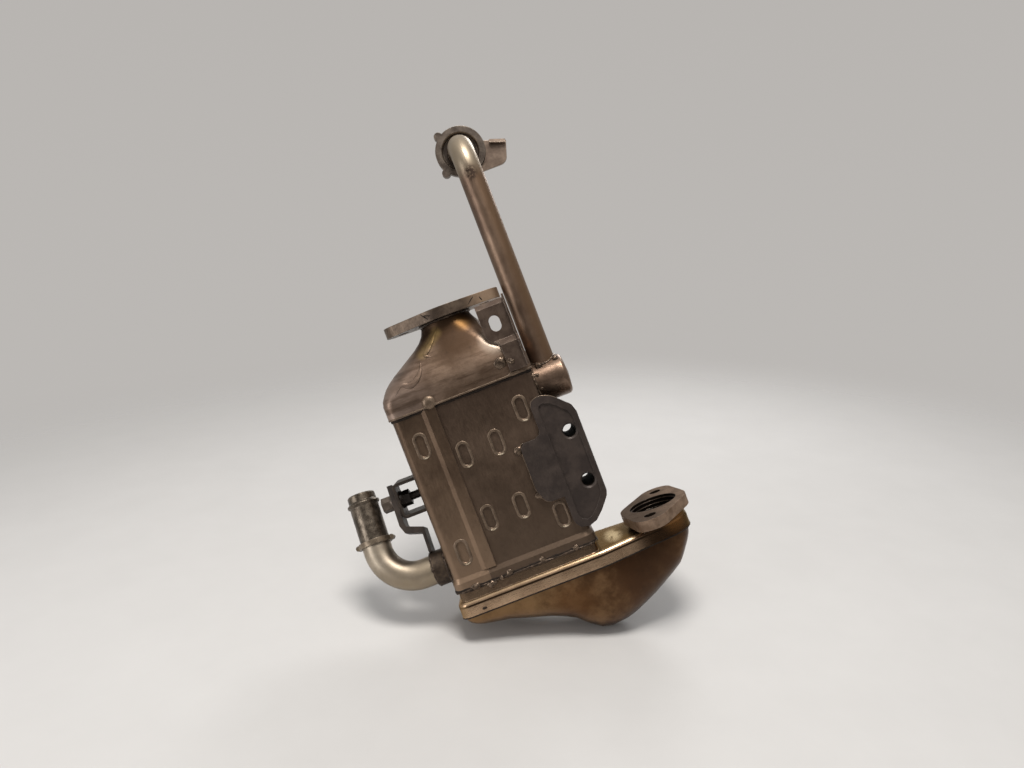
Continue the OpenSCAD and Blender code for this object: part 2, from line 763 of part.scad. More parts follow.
// Stay from the collar up to the strap, bent twice
module elbow_stay() {
  w = strap_w - 4;
  top = (bolt_z - elbow_z) / cos(elbow_lean);
  x0 = stay_x - stay_t - casing_left_x;
  x1 = stay_x - casing_left_x;
  z = top - 18.5;
  color([0.46, 0.44, 0.42])
    at_elbow()
      difference() {
        translate([0, w / 2, 0])
          rotate([90, 0, 0])
            linear_extrude(w)
              polygon([[x1, top + 12], [x0, top + 12], [x0, z - 1], [x0 + 2.5, z - 7.5], [-11.4, z - 11.5], [-11.4, 12.5],
                [-9.1, 12.5], [-9.1, z - 7.5], [x1 + 1, z - 3], [x1, z]]);
        translate([-40, 0, top]) rotate([0, 90, 0]) cylinder(h = 30, d = 6.6);
        translate([1, 0, 0]) rotate([0, -90, 0]) cylinder(h = 20, d = 26.1);
      }
}

module stay_bolt() {
  color([0.14, 0.13, 0.12])
    translate([stay_x - stay_t - 0.05, bolt_y, bolt_z])
      rotate([0, -90, 0]) {
        cylinder(h = 1.6, d1 = 13, d2 = 12);
        translate([0, 0, 1.5]) cylinder(h = 7, d = 12, $fn = 6);
        translate([0, 0, -22.5]) cylinder(h = 23, d = 6);
      }
}

module stay_nut() {
  color([0.12, 0.11, 0.10])
    translate([stay_x + 0.1 + strap_t + 0.05, bolt_y, bolt_z])
      rotate([0, 90, 0])
        difference() {
          union() {
            cylinder(h = 1.8, d1 = 14, d2 = 12.5);
            translate([0, 0, 1.7]) cylinder(h = 5.8, d = 12.4, $fn = 6);
          }
          translate([0, 0, -1]) cylinder(h = 12, d = 6.1);
        }
}

// Places one child for every gas tube
module each_tube() {
  for (column = [-0.5, 0.5]) {
    for (row = [0:tube_rows - 1]) {
      translate([casing_x + column * tube_columns, (row - (tube_rows - 1) / 2) * tube_pitch, 0]) children();
    }
  }
}

module tube_plate(z) {
  w = casing_w - 2 * sheet - 2 * lap_gap;
  d = casing_d - 2 * sheet - 2 * lap_gap;
  difference() {
    translate([casing_x, 0, z]) linear_extrude(plate_t) rounded(w, d, casing_r - sheet - lap_gap);
    each_tube() translate([0, 0, z - 1]) linear_extrude(plate_t + 2) slot(tube_w + 0.1, tube_h + 0.1);
  }
}

module upper_tube_plate() {
  color([0.50, 0.42, 0.33]) tube_plate(casing_top - plate_t - 1.5);
}

module lower_tube_plate() {
  color([0.50, 0.42, 0.33]) tube_plate(joggle_z - 0.5);
}

module gas_tubes() {
  z0 = joggle_z - 1.5;
  color([0.48, 0.42, 0.36])
    each_tube()
      translate([0, 0, z0])
        linear_extrude(casing_top - z0)
          difference() {
            slot(tube_w, tube_h);
            slot(tube_w - 2 * tube_wall, tube_h - 2 * tube_wall);
          }
}

module tube_fins() {
  a = tube_h / 2 - tube_wall - 0.05;
  t = 0.35;
  n = 16;
  p = (tube_w - tube_h) / n;
  top = [for (i = [0:n]) [(i - n / 2) * p, (i % 2 == 0 ? a : t - a)]];
  low = [for (i = [n:-1:0]) [(i - n / 2) * p, (i % 2 == 0 ? a - t : -a)]];
  color([0.45, 0.40, 0.35])
    each_tube()
      translate([0, 0, joggle_z + 4])
        linear_extrude(casing_top - joggle_z - 12)
          polygon(concat(top, low));
}

place() {
  casing_left();
  casing_right();
  upper_hood();
  outlet_flange();
  hood_tab();
  lower_tray();
  lower_shell();
  inlet_flange();
  mounting_bracket();
  bracket_sleeves();
  coolant_cup();
  coolant_pipe();
  pipe_flange();
  pipe_tab();
  pipe_o_ring();
  inlet_collar();
  elbow_pipe();
  hose_nipple();
  nipple_clip();
  u_bracket();
  elbow_stay();
  stay_bolt();
  stay_nut();
  upper_tube_plate();
  lower_tube_plate();
  gas_tubes();
  tube_fins();
}
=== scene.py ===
"""Looks of an exhaust gas cooler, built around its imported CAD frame."""

import math

import bmesh
import bpy
from mathutils import Matrix, Vector, geometry, noise
from mathutils.bvhtree import BVHTree


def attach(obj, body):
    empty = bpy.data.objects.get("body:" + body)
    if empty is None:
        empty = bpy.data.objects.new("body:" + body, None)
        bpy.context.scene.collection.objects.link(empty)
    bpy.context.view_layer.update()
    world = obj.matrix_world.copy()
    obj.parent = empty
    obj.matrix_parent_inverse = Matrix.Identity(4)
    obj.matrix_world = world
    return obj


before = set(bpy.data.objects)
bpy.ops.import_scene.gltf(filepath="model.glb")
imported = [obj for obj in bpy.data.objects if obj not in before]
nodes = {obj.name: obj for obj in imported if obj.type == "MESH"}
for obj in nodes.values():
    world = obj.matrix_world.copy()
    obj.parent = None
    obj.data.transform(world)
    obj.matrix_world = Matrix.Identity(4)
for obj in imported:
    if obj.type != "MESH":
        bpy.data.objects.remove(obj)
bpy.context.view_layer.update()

# Drawing points are millimetres from the middle of the casing's front view, as in the CAD source
ORIGIN = Vector((2.5, 0.0, 125.0))
X, Z = 0, 2
UP = Vector((0, 0, 1))

# Dimensions of the CAD source that the looks and the detail pieces follow
CASING_X, CASING_W, CASING_D, CASING_R = -5, 106, 58, 6
CASING_BOTTOM, SKIRT_Z = -72, 60
FRONT_Y = -CASING_D / 2
LEFT_X, RIGHT_X = CASING_X - CASING_W / 2, CASING_X + CASING_W / 2
NECK_X, NECK_Z, NECK_R, OUTLET_BORE_R = 2.5, 117.3, 18.8, 17
INLET_X, INLET_Z, INLET_BORE_R = 99, -75.7, 18
INLET_HOLE_X, INLET_HOLE_Y, FLANGE_HOLE_R = 8.3, 30.9, 4.5
TRAY_Z, RIM_Z = -79.5, -91
ELBOW_Y, ELBOW_Z, ELBOW_R = -8, -54.3, 10.8
BOLT_Y, BOLT_Z, THREAD_R = 8.9, 1, 2.95
STRAP_TOP, STRAP_BOTTOM = 14, -13.5
CUP_Z, CUP_R = 47.2, 15.5
PIPE_X, PIPE_R, FITTING_Z = 59.7, 9.3, 236
DIMPLE_HALF, DIMPLE_R = 4.75, 4.25
DIMPLES = [(-43.5, 36), (-43.5, -45.5), (32.3, 36), (32.3, -45.5),
           (-17, 19.5), (-17, -29), (7.5, 19.5), (7.5, -29)]


def at(x, y, z):
    """A drawing point in the row frame, in metres."""
    return (Vector((x, y, z)) - ORIGIN) / 1000


# The photograph's point of view, with the cooler leaning to the left
EYE, AIM, LEAN = at(32.3, -589, 74), at(32.3, -29, 54.5), math.radians(21)


def srgb(r, g, b):
    """A colour as it should look on screen, from 0 to 255."""
    shares = (c / 255 for c in (r, g, b))
    return tuple(c / 12.92 if c <= 0.04045 else ((c + 0.055) / 1.055) ** 2.4 for c in shares) + (1.0,)


def warm(colour):
    """A steel colour with the yellow of old heat tint."""
    r, g, b = colour
    return srgb(r, g * 0.98, b * 0.93)


class Nodes:
    """Short hand for building a shader node tree."""

    def __init__(self, tree):
        self.tree = tree

    def add(self, kind, **settings):
        node = self.tree.nodes.new(kind)
        for key, value in settings.items():
            setattr(node, key, value)
        return node

    def put(self, socket, value):
        if isinstance(value, bpy.types.NodeSocket):
            self.tree.links.new(value, socket)
        else:
            socket.default_value = value

    def math(self, operation, a, b):
        node = self.add("ShaderNodeMath", operation=operation)
        self.put(node.inputs[0], a)
        self.put(node.inputs[1], b)
        return node.outputs[0]

    def both(self, a, b):
        return self.math("MULTIPLY", a, b)

    def either(self, a, b):
        return self.math("MAXIMUM", a, b)

    def dot(self, a, b):
        node = self.add("ShaderNodeVectorMath", operation="DOT_PRODUCT")
        self.put(node.inputs[0], a)
        self.put(node.inputs[1], b)
        return node.outputs["Value"]

    def length(self, vector):
        node = self.add("ShaderNodeVectorMath", operation="LENGTH")
        self.put(node.inputs[0], vector)
        return node.outputs["Value"]

    def remap(self, value, low, high, out_low=0.0, out_high=1.0):
        node = self.add("ShaderNodeMapRange", interpolation_type="SMOOTHSTEP")
        for socket, v in zip(node.inputs, (value, low, high, out_low, out_high)):
            self.put(socket, v)
        return node.outputs["Result"]

    def mix(self, share, a, b, blend="MIX"):
        node = self.add("ShaderNodeMix", data_type="RGBA", blend_type=blend)
        self.put(node.inputs[0], share)
        self.put(node.inputs[6], a)
        self.put(node.inputs[7], b)
        return node.outputs[2]


class Look(Nodes):
    """One procedural material; lengths are drawing millimetres."""

    def __init__(self, name):
        self.mat = bpy.data.materials.new(name)
        self.mat.use_nodes = True
        super().__init__(self.mat.node_tree)
        self.bsdf = self.tree.nodes["Principled BSDF"]
        self.place = self.add("ShaderNodeTexCoord").outputs["Object"]

    def noise(self, size, detail, rough, stretch=(1, 1, 1), shift=0.0):
        """Noise with features of about that size in millimetres, longer along an axis by its stretch."""
        mapping = self.add("ShaderNodeMapping")
        mapping.inputs["Location"].default_value = (shift, shift * 0.7, shift * 1.3)
        mapping.inputs["Scale"].default_value = tuple(1000 / (size * s) for s in stretch)
        self.put(mapping.inputs["Vector"], self.place)
        node = self.add("ShaderNodeTexNoise")
        self.put(node.inputs["Vector"], mapping.outputs["Vector"])
        node.inputs["Scale"].default_value = 1.0
        node.inputs["Detail"].default_value = detail
        node.inputs["Roughness"].default_value = rough
        return node.outputs["Fac"]

    def spot(self, centre, inner, outer, squash=(1, 1, 1), share=1.0):
        """The share within the inner radius of a drawing point, 0 beyond the outer one."""
        shift = self.add("ShaderNodeVectorMath", operation="SUBTRACT")
        self.put(shift.inputs[0], self.place)
        shift.inputs[1].default_value = at(*centre)
        scale = self.add("ShaderNodeVectorMath", operation="MULTIPLY")
        self.put(scale.inputs[0], shift.outputs[0])
        scale.inputs[1].default_value = squash
        return self.remap(self.length(scale.outputs[0]), inner / 1000, outer / 1000, share, 0.0)

    def along(self, axis, low, high, share=1.0):
        """0 up to one drawing coordinate, the share beyond another."""
        split = self.add("ShaderNodeSeparateXYZ")
        self.put(split.inputs[0], self.place)
        start, end = ((edge - ORIGIN[axis]) / 1000 for edge in (low, high))
        return self.remap(split.outputs[axis], start, end, 0.0, share)

    def facing(self, direction, start, full, share=1.0):
        """Rises to the share as the surface turns towards a direction."""
        normal = self.add("ShaderNodeNewGeometry").outputs["Normal"]
        return self.remap(self.dot(normal, direction), start, full, 0.0, share)

    def level(self):
        """1 on faces that look straight up the tubes."""
        return self.facing((0.0, 0.0, 1.0), 0.95, 0.99)

    def bore(self, x, r):
        """1 on the wall of an upright bore in a flange."""
        return self.spot((x, 0, 0), r + 0.1, r + 0.4, (1, 1, 0))


# Tints: for each part, the places where its steel has another colour and where light and shade are painted, from
# the first layer to the last


def casing_tints(dark_top, pale_foot):
    """Darker towards the hood and paler towards the lower edge."""
    def tints(look):
        yield look.along(Z, 20, 60, 0.55), dark_top
        yield look.along(Z, 10, -66, 0.7), pale_foot
    return tints


def hood_tints(look):
    """Silver left, brown middle, streaks, painted shade on the neck under the flange, a painted highlight beside
    the tab, amber spot, and a painted golden highlight along the wrinkle.
    """
    clouds = look.noise(18, 4, 0.55, stretch=(4, 4, 1), shift=2)
    yield look.both(look.along(X, -12, -52), look.remap(clouds, 0.3, 0.65, 0.3, 0.9)), (156, 140, 136)
    yield look.spot((7, -24, 102), 9, 29, (1, 0.4, 1), 0.92), (56, 41, 29)
    streaks = look.noise(4.5, 5, 0.6, stretch=(7, 7, 1), shift=21)
    yield look.remap(streaks, 0.46, 0.66, 0.0, 0.6), (70, 55, 45)
    # Painted shade on the neck under the outlet flange
    yield look.along(Z, 99, 112, 0.7), (60, 43, 29)
    # Painted highlight on the hood beside the tab
    yield look.spot((32, -24, 89), 3, 14, (1, 0.4, 1), 0.9), (160, 149, 142)
    yield look.spot((15, -24, 110), 1, 10, (1, 0.5, 1), 0.7), (108, 78, 40)
    # Painted golden highlight along the left wrinkle
    wrinkle_highlight = 0.0
    for k in range(6):
        wrinkle_highlight = look.either(wrinkle_highlight, look.spot((-6 - 3 * k, -24, 108.5 - 2.1 * k), 1, 6, (1, 0.3, 1), 0.45))
    yield wrinkle_highlight, (150, 128, 84)


def outlet_flange_tints(look):
    """A pale right end and soot in the bore."""
    yield look.along(X, 16, 36, 0.8), (164, 141, 123)
    yield look.bore(NECK_X, OUTLET_BORE_R), (26, 21, 18)


def inlet_flange_tints(look):
    """A stained gasket face, soot in the bore, and painted shade in the bolt holes."""
    yield look.both(look.level(), look.remap(look.along(X, 84, 116), 0.0, 1.0, 0.85, 0.35)), (56, 44, 36)
    yield look.bore(INLET_X, INLET_BORE_R), (24, 19, 16)
    # Painted shade on the walls of the bolt holes
    painted_hole_shade = 0.0
    for side in (1, -1):
        centre = (INLET_X + side * INLET_HOLE_X, side * INLET_HOLE_Y, 0)
        painted_hole_shade = look.either(painted_hole_shade, look.spot(centre, FLANGE_HOLE_R + 0.05, FLANGE_HOLE_R + 0.2, (1, 1, 0)))
    yield painted_hole_shade, (30, 24, 20)


def tray_tints(look):
    """Painted shade towards the inlet end and a painted shadow round the inlet's flare, dull collar, golden top
    with a painted highlight, painted shade in the crease under the rim's bend, a painted highlight along the
    rim's bend, amber neck, worn corner, sooted bore.
    """
    # Painted shade towards the inlet end, under its flange
    yield look.along(X, 62, 92, 0.75), (66, 45, 29)
    yield look.along(Z, TRAY_Z - 0.2, TRAY_Z + 0.2, 0.8), (76, 64, 55)
    yield look.both(look.level(), look.along(X, 46, 49)), (116, 92, 62)
    # Painted shadow of the inlet's flare round its neck
    yield look.spot((INLET_X, 0, TRAY_Z), 26, 37, (1, 1, 0), 0.85), (56, 39, 26)
    # Painted highlight on the tray's top beside the casing, broken up by noise
    flecks = look.noise(4, 3, 0.5, stretch=(1, 3, 1), shift=14)
    painted_glint = look.spot((62, -3, TRAY_Z), 1.5, 7, (0.8, 0.28, 1))
    yield look.both(painted_glint, look.remap(flecks, 0.3, 0.5)), (255, 240, 212)
    # Painted shade in the crease under the rim's bend
    yield look.both(look.along(Z, -84.2, -83.4), look.along(Z, -82.0, -82.8)), (52, 39, 29)
    # Painted highlight along the rim's bend, where the surface faces up and forward
    upper_front = look.facing((0.0, -0.64, 0.77), 0.94, 0.99)
    rim_highlight = look.both(upper_front, look.remap(look.along(X, -60, 64), 0.0, 1.0, 0.5, 1.0))
    yield look.both(rim_highlight, look.along(X, 96, 62)), (190, 167, 138)
    yield look.spot((107, -18, -80), 3, 13, (1, 0.5, 1), 0.6), (150, 108, 66)
    yield look.spot((-60, -28, -86), 3, 9, share=0.7), (134, 112, 86)
    yield look.bore(INLET_X, INLET_BORE_R), (24, 19, 16)


def shell_tints(look):
    """Gold on the left, orange in the middle, dark and sooty under the inlet, a dark seam with painted shadow
    under the rim's edge.
    """
    clouds = look.noise(20, 4, 0.55, shift=9)
    yield look.both(look.along(X, 20, -14), look.remap(clouds, 0.25, 0.7, 0.35, 1.0)), (128, 102, 74)
    yield look.spot((18, -20, -110), 6, 26, (1, 0.4, 1), 0.7), (92, 63, 38)
    clouds = look.noise(16, 5, 0.6, shift=4)
    yield look.both(look.along(X, 10, 66), look.remap(clouds, 0.25, 0.6, 0.45, 1.0)), (72, 49, 32)
    yield look.spot((84, -18, -110), 8, 36, (1, 0.4, 1), 0.7), (59, 41, 28)
    # Dark seam with painted shadow just under the rim's edge
    yield look.along(Z, RIM_Z - 1.6, RIM_Z - 0.4, 0.85), (38, 28, 21)


def bracket_tints(look):
    """Dust."""
    yield look.remap(look.noise(9, 6, 0.7, shift=2), 0.5, 0.8, 0.0, 0.3), (84, 75, 70)


def pipe_tints(look):
    """Bronze on the right, purple on the left, silver in the bend and a scar below it."""
    clouds = look.noise(24, 4, 0.5, stretch=(1, 1, 3), shift=5)
    yield look.both(look.along(X, 58, 66), look.remap(clouds, 0.2, 0.6, 0.3, 1.0)), (113, 91, 74)
    clouds = look.noise(30, 3, 0.5, stretch=(1, 1, 3), shift=15)
    yield look.both(look.along(X, 59, 53), look.remap(clouds, 0.35, 0.7, 0.0, 0.8)), (92, 76, 70)
    yield look.along(Z, 204, 220, 0.9), (150, 140, 128)
    flecks = look.noise(2.6, 4, 0.7, shift=8)
    scar = look.spot((59.5, -9, 209), 2.5, 6.5, (1, 1, 0.8))
    yield look.both(scar, look.remap(flecks, 0.38, 0.55)), (66, 54, 48)


def fitting_tints(look):
    """Painted shade in the recess round the pipe."""
    yield look.spot((PIPE_X, 0, FITTING_Z), 12.4, 14.0, (1, 0, 1), 0.85), (44, 36, 32)


def elbow_tints(look):
    """Straw towards the bottom, and a painted dark reflection on the inner side of the bend."""
    clouds = look.noise(14, 4, 0.6, shift=6)
    yield look.both(look.along(Z, -30, -62), look.remap(clouds, 0.25, 0.65, 0.3, 0.9)), (148, 136, 120)
    # Painted dark reflection of the casing on the inner side of the bend
    yield look.facing((0.70, -0.14, 0.70), 0.72, 0.9, 0.75), (66, 56, 48)


def bolt_tints(look):
    """Painted shade on the thread behind the head."""
    # Painted shade on the bolt's shank behind its head
    yield look.along(X, -84.4, -84.0), (34, 29, 26)


def steel(name, shift, dark, light, metallic, rough, blotch, stain, grain=(1, 1, 1), tints=None, bump=0.10,
          wear=0.35, wear_colour=(176, 168, 156), round_mm=0.5, specular=0.5, edge_tint=(1, 1, 1)):
    """Used sheet steel: blotches, drawn grain, stains, rubbed edges and tints at places."""
    look = Look(name)
    large = look.noise(blotch, 5, 0.62, shift=shift)
    fine = look.noise(1.1, 3, 0.6, shift=shift + 3)
    lines = look.noise(0.5, 2, 0.5, stretch=grain, shift=shift + 7)
    dirt = look.noise(7, 6, 0.68, shift=shift + 11)
    colour = look.mix(look.remap(large, 0.34, 0.66), warm(dark), warm(light))
    for mask, tint in tints(look) if tints else ():
        colour = look.mix(mask, colour, warm(tint))
    grey = look.mix(look.remap(lines, 0.3, 0.7, 0.0, 0.3), (0.5, 0.5, 0.5, 1), (0.62, 0.62, 0.62, 1))
    colour = look.mix(1.0, colour, grey, "SOFT_LIGHT")
    soiled = look.remap(dirt, 0.52, 0.74, 0.0, stain)
    colour = look.mix(soiled, colour, srgb(38, 31, 25))
    relief = look.add("ShaderNodeBump")
    if round_mm:
        bevel = look.add("ShaderNodeBevel", samples=6)
        bevel.inputs["Radius"].default_value = round_mm / 1000
        look.put(relief.inputs["Normal"], bevel.outputs[0])
        flat = look.add("ShaderNodeNewGeometry").outputs["Normal"]
        rubbed = look.remap(look.dot(bevel.outputs[0], flat), 0.995, 0.93, 0.0, wear)
        colour = look.mix(look.both(rubbed, look.remap(fine, 0.3, 0.6)), colour, srgb(*wear_colour))
    look.put(look.bsdf.inputs["Base Color"], colour)
    look.bsdf.inputs["Metallic"].default_value = metallic
    look.bsdf.inputs["Specular IOR Level"].default_value = specular
    look.bsdf.inputs["Specular Tint"].default_value = (*edge_tint, 1)
    drawn = look.remap(lines, 0.25, 0.75, rough[0], rough[1])
    look.put(look.bsdf.inputs["Roughness"], look.math("ADD", drawn, look.both(soiled, 0.35)))
    relief.inputs["Strength"].default_value = bump
    relief.inputs["Distance"].default_value = 0.0004
    look.put(relief.inputs["Height"], look.math("ADD", look.both(lines, 0.5), look.both(fine, 0.7)))
    look.put(look.bsdf.inputs["Normal"], relief.outputs[0])
    return look.mat


RUBBED = (134, 122, 112)
STEELS = {
    "casing_left": dict(
        dark=(90, 74, 63), light=(112, 94, 81), metallic=0.82, rough=(0.32, 0.46), blotch=30, stain=0.2,
        grain=(1, 1, 10), tints=casing_tints((72, 58, 48), (142, 121, 105)), wear_colour=RUBBED),
    "casing_right": dict(
        dark=(84, 70, 61), light=(106, 90, 80), metallic=0.82, rough=(0.32, 0.46), blotch=30, stain=0.2,
        grain=(1, 1, 10), tints=casing_tints((69, 55, 48), (94, 80, 70)), wear_colour=RUBBED),
    "upper_hood": dict(
        dark=(98, 81, 70), light=(124, 106, 95), metallic=0.9, rough=(0.38, 0.48), blotch=16, stain=0.3,
        grain=(9, 9, 1), tints=hood_tints, wear_colour=(150, 137, 126)),
    "outlet_flange": dict(
        dark=(68, 57, 50), light=(100, 87, 78), metallic=0.7, rough=(0.34, 0.5), blotch=8, stain=0.4,
        grain=(1, 1, 6), tints=outlet_flange_tints, bump=0.2, wear_colour=RUBBED),
    "inlet_flange": dict(
        dark=(106, 88, 76), light=(146, 126, 113), metallic=0.6, rough=(0.32, 0.48), blotch=9, stain=0.35,
        grain=(1, 1, 6), tints=inlet_flange_tints, bump=0.2, wear_colour=RUBBED, edge_tint=(0.50, 0.42, 0.36)),
    "hood_tab": dict(
        dark=(80, 67, 61), light=(102, 88, 81), metallic=0.7, rough=(0.28, 0.42), blotch=8, stain=0.3,
        grain=(1, 1, 8), wear_colour=(160, 150, 140)),
    "lower_tray": dict(
        dark=(162, 137, 117), light=(188, 162, 140), metallic=0.9, rough=(0.24, 0.32), blotch=18, stain=0.25,
        grain=(14, 1, 1), tints=tray_tints, bump=0.02, edge_tint=(0.78, 0.66, 0.50)),
    "lower_shell": dict(
        dark=(82, 60, 40), light=(126, 99, 73), metallic=0.88, rough=(0.28, 0.4), blotch=11, stain=0.25,
        grain=(5, 5, 1), tints=shell_tints),
    "mounting_bracket": dict(
        dark=(48, 40, 38), light=(64, 55, 52), metallic=0.45, rough=(0.42, 0.6), blotch=12, stain=0.3,
        grain=(1, 1, 5), tints=bracket_tints, bump=0.15, wear=0.18, wear_colour=(110, 102, 96)),
    "bracket_sleeves": dict(
        dark=(26, 22, 20), light=(44, 38, 34), metallic=0.0, rough=(0.75, 0.9), blotch=8, stain=0.5,
        grain=(1, 6, 1), wear=0.0, specular=0.08),
    "coolant_cup": dict(
        dark=(100, 83, 73), light=(128, 109, 98), metallic=0.85, rough=(0.26, 0.4), blotch=12, stain=0.35,
        grain=(6, 1, 1), wear_colour=RUBBED),
    "coolant_pipe": dict(
        dark=(104, 86, 75), light=(126, 107, 95), metallic=0.88, rough=(0.38, 0.48), blotch=24, stain=0.15,
        grain=(1, 1, 16), tints=pipe_tints, bump=0.04, round_mm=0),
    "pipe_flange": dict(
        dark=(76, 68, 64), light=(112, 103, 98), metallic=0.7, rough=(0.3, 0.45), blotch=8, stain=0.4,
        grain=(1, 1, 4), tints=fitting_tints),
    "pipe_tab": dict(
        dark=(120, 105, 97), light=(148, 132, 123), metallic=0.7, rough=(0.28, 0.42), blotch=8, stain=0.25,
        grain=(6, 1, 1)),
    "inlet_collar": dict(
        dark=(50, 40, 33), light=(82, 69, 58), metallic=0.6, rough=(0.36, 0.55), blotch=6, stain=0.6,
        grain=(1, 1, 3), bump=0.25, wear_colour=RUBBED),
    "elbow_pipe": dict(
        dark=(142, 133, 124), light=(168, 159, 150), metallic=0.88, rough=(0.40, 0.46), blotch=20, stain=0.12,
        grain=(1, 1, 6), tints=elbow_tints, bump=0.015, round_mm=0),
    "hose_nipple": dict(
        dark=(64, 57, 51), light=(108, 100, 93), metallic=0.84, rough=(0.24, 0.42), blotch=5, stain=0.45,
        grain=(1, 1, 5), bump=0.2),
    "nipple_clip": dict(
        dark=(96, 86, 76), light=(130, 118, 106), metallic=0.7, rough=(0.28, 0.42), blotch=6, stain=0.45,
        grain=(4, 4, 1)),
    "u_bracket": dict(
        dark=(42, 35, 31), light=(64, 55, 49), metallic=0.35, rough=(0.42, 0.56), blotch=8, stain=0.45,
        grain=(1, 6, 1), wear_colour=RUBBED),
    "elbow_stay": dict(
        dark=(40, 33, 30), light=(60, 51, 46), metallic=0.35, rough=(0.42, 0.56), blotch=8, stain=0.45,
        grain=(1, 1, 6), wear_colour=RUBBED),
    "stay_bolt": dict(
        dark=(84, 75, 70), light=(110, 100, 94), metallic=0.6, rough=(0.34, 0.5), blotch=4, stain=0.3,
        tints=bolt_tints, wear=0.25),
    "stay_nut": dict(
        dark=(26, 22, 20), light=(42, 36, 33), metallic=0.5, rough=(0.36, 0.5), blotch=4, stain=0.3, wear=0.2),
    "upper_tube_plate": dict(
        dark=(70, 58, 47), light=(94, 79, 64), metallic=0.6, rough=(0.4, 0.6), blotch=8, stain=0.6),
    "lower_tube_plate": dict(
        dark=(70, 58, 47), light=(94, 79, 64), metallic=0.6, rough=(0.4, 0.6), blotch=8, stain=0.6),
    "gas_tubes": dict(
        dark=(70, 59, 49), light=(94, 80, 67), metallic=0.6, rough=(0.4, 0.6), blotch=8, stain=0.6,
        grain=(1, 1, 6)),
    "tube_fins": dict(
        dark=(60, 51, 43), light=(82, 70, 60), metallic=0.6, rough=(0.45, 0.65), blotch=6, stain=0.6,
        grain=(1, 1, 4)),
}
LOOKS = {name: steel(name, shift, **spec) for shift, (name, spec) in enumerate(STEELS.items(), 1)}

WELD = steel("weld", 30, (66, 55, 48), (118, 103, 92), 0.78, (0.2, 0.38), 2.2, 0.35, bump=0.5, wear=0.2)
WELD_DARK = steel("weld_dark", 31, (40, 32, 27), (82, 69, 60), 0.7, (0.26, 0.44), 2.4, 0.5, bump=0.5, wear=0.2)
PALE_STEEL = steel("pale_steel", 32, (98, 84, 73), (124, 108, 96), 0.66, (0.3, 0.44), 6, 0.25, grain=(1, 1, 4))
# Bright colour for the painted highlights on the dimples' lips
PAINTED_GLINT = steel("painted_glint", 33, (184, 169, 151), (214, 201, 186), 0.7, (0.22, 0.32), 4, 0.1)
# Dark matt colour for dark seams and marks, and for painted shade and shadow lines
DARK_MARK_AND_SHADE = steel("dark_mark_and_shade", 34, (28, 21, 17), (44, 35, 29), 0.0, (0.6, 0.75), 4, 0.3, wear=0.0, specular=0.2)


def rubber(name):
    """Matt black seal rubber."""
    look = Look(name)
    fine = look.noise(1.2, 5, 0.7)
    look.put(look.bsdf.inputs["Base Color"], look.mix(fine, srgb(18, 18, 18), srgb(38, 37, 36)))
    look.put(look.bsdf.inputs["Roughness"], look.remap(fine, 0.3, 0.7, 0.42, 0.6))
    return look.mat


LOOKS["pipe_o_ring"] = rubber("seal_rubber")

for name, node in nodes.items():
    node.data.materials.clear()
    node.data.materials.append(LOOKS[name])


def smoothing_group():
    """Geometry nodes that join a sheet's split facets and shade them smooth."""
    group = bpy.data.node_groups.new("smooth", "GeometryNodeTree")
    for in_out in ("INPUT", "OUTPUT"):
        group.interface.new_socket("Geometry", in_out=in_out, socket_type="NodeSocketGeometry")
    kinds = ("NodeGroupInput", "GeometryNodeRemoveAttribute", "GeometryNodeMergeByDistance",
             "GeometryNodeSetShadeSmooth", "NodeGroupOutput")
    chain = [group.nodes.new(kind) for kind in kinds]
    chain[1].inputs["Name"].default_value = "custom_normal"
    chain[2].inputs["Distance"].default_value = 0.000002
    for a, b in zip(chain, chain[1:]):
        group.links.new(a.outputs[0], b.inputs[0])
    return group


# Drawn sheets, with the angle in degrees above which an edge stays sharp
SMOOTH = smoothing_group()
for name, angle in (("upper_hood", 32), ("lower_tray", 32), ("lower_shell", 50)):
    nodes[name].modifiers.new("smooth", "NODES").node_group = SMOOTH
    nodes[name].modifiers.new("edges", "EDGE_SPLIT").split_angle = math.radians(angle)


def piece(name, bm, mat):
    """Turns built faces into one smooth piece of the part."""
    for f in bm.faces:
        f.smooth = True
    mesh = bpy.data.meshes.new(name)
    bm.to_mesh(mesh)
    bm.free()
    mesh.materials.append(mat)
    obj = bpy.data.objects.new(name, mesh)
    bpy.context.collection.objects.link(obj)
    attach(obj, "root")


def bead(bm, path, width, height, lumps, size, closed=False, sides=10, taper=0.12):
    """Sweeps a lumpy oval along [point, outward direction] pairs; open ends taper."""
    count = len(path)
    rings = []
    for i, (p, up) in enumerate(path):
        before = path[i - 1][0] if i or closed else p
        after = path[(i + 1) % count][0] if i + 1 < count or closed else p
        along = (after - before).normalized()
        across = along.cross(up).normalized()
        rise = across.cross(along)
        swell = 1 + 1.6 * lumps * noise.noise(p * (1000 / size))
        if not closed:
            swell *= min(1, 0.06 + min(i, count - 1 - i) / (count * taper))
        ring = []
        for k in range(sides):
            a = 2 * math.pi * k / sides
            out = across * math.cos(a) * width / 2 + rise * math.sin(a) * height
            ring.append(bm.verts.new(p + out * swell / 1000))
        rings.append(ring)
    for i in range(count if closed else count - 1):
        a, b = rings[i], rings[(i + 1) % count]
        for k in range(sides):
            bm.faces.new((a[k], b[k], b[(k + 1) % sides], a[(k + 1) % sides]))
    if not closed:
        bm.faces.new(rings[0])
        bm.faces.new(list(reversed(rings[-1])))


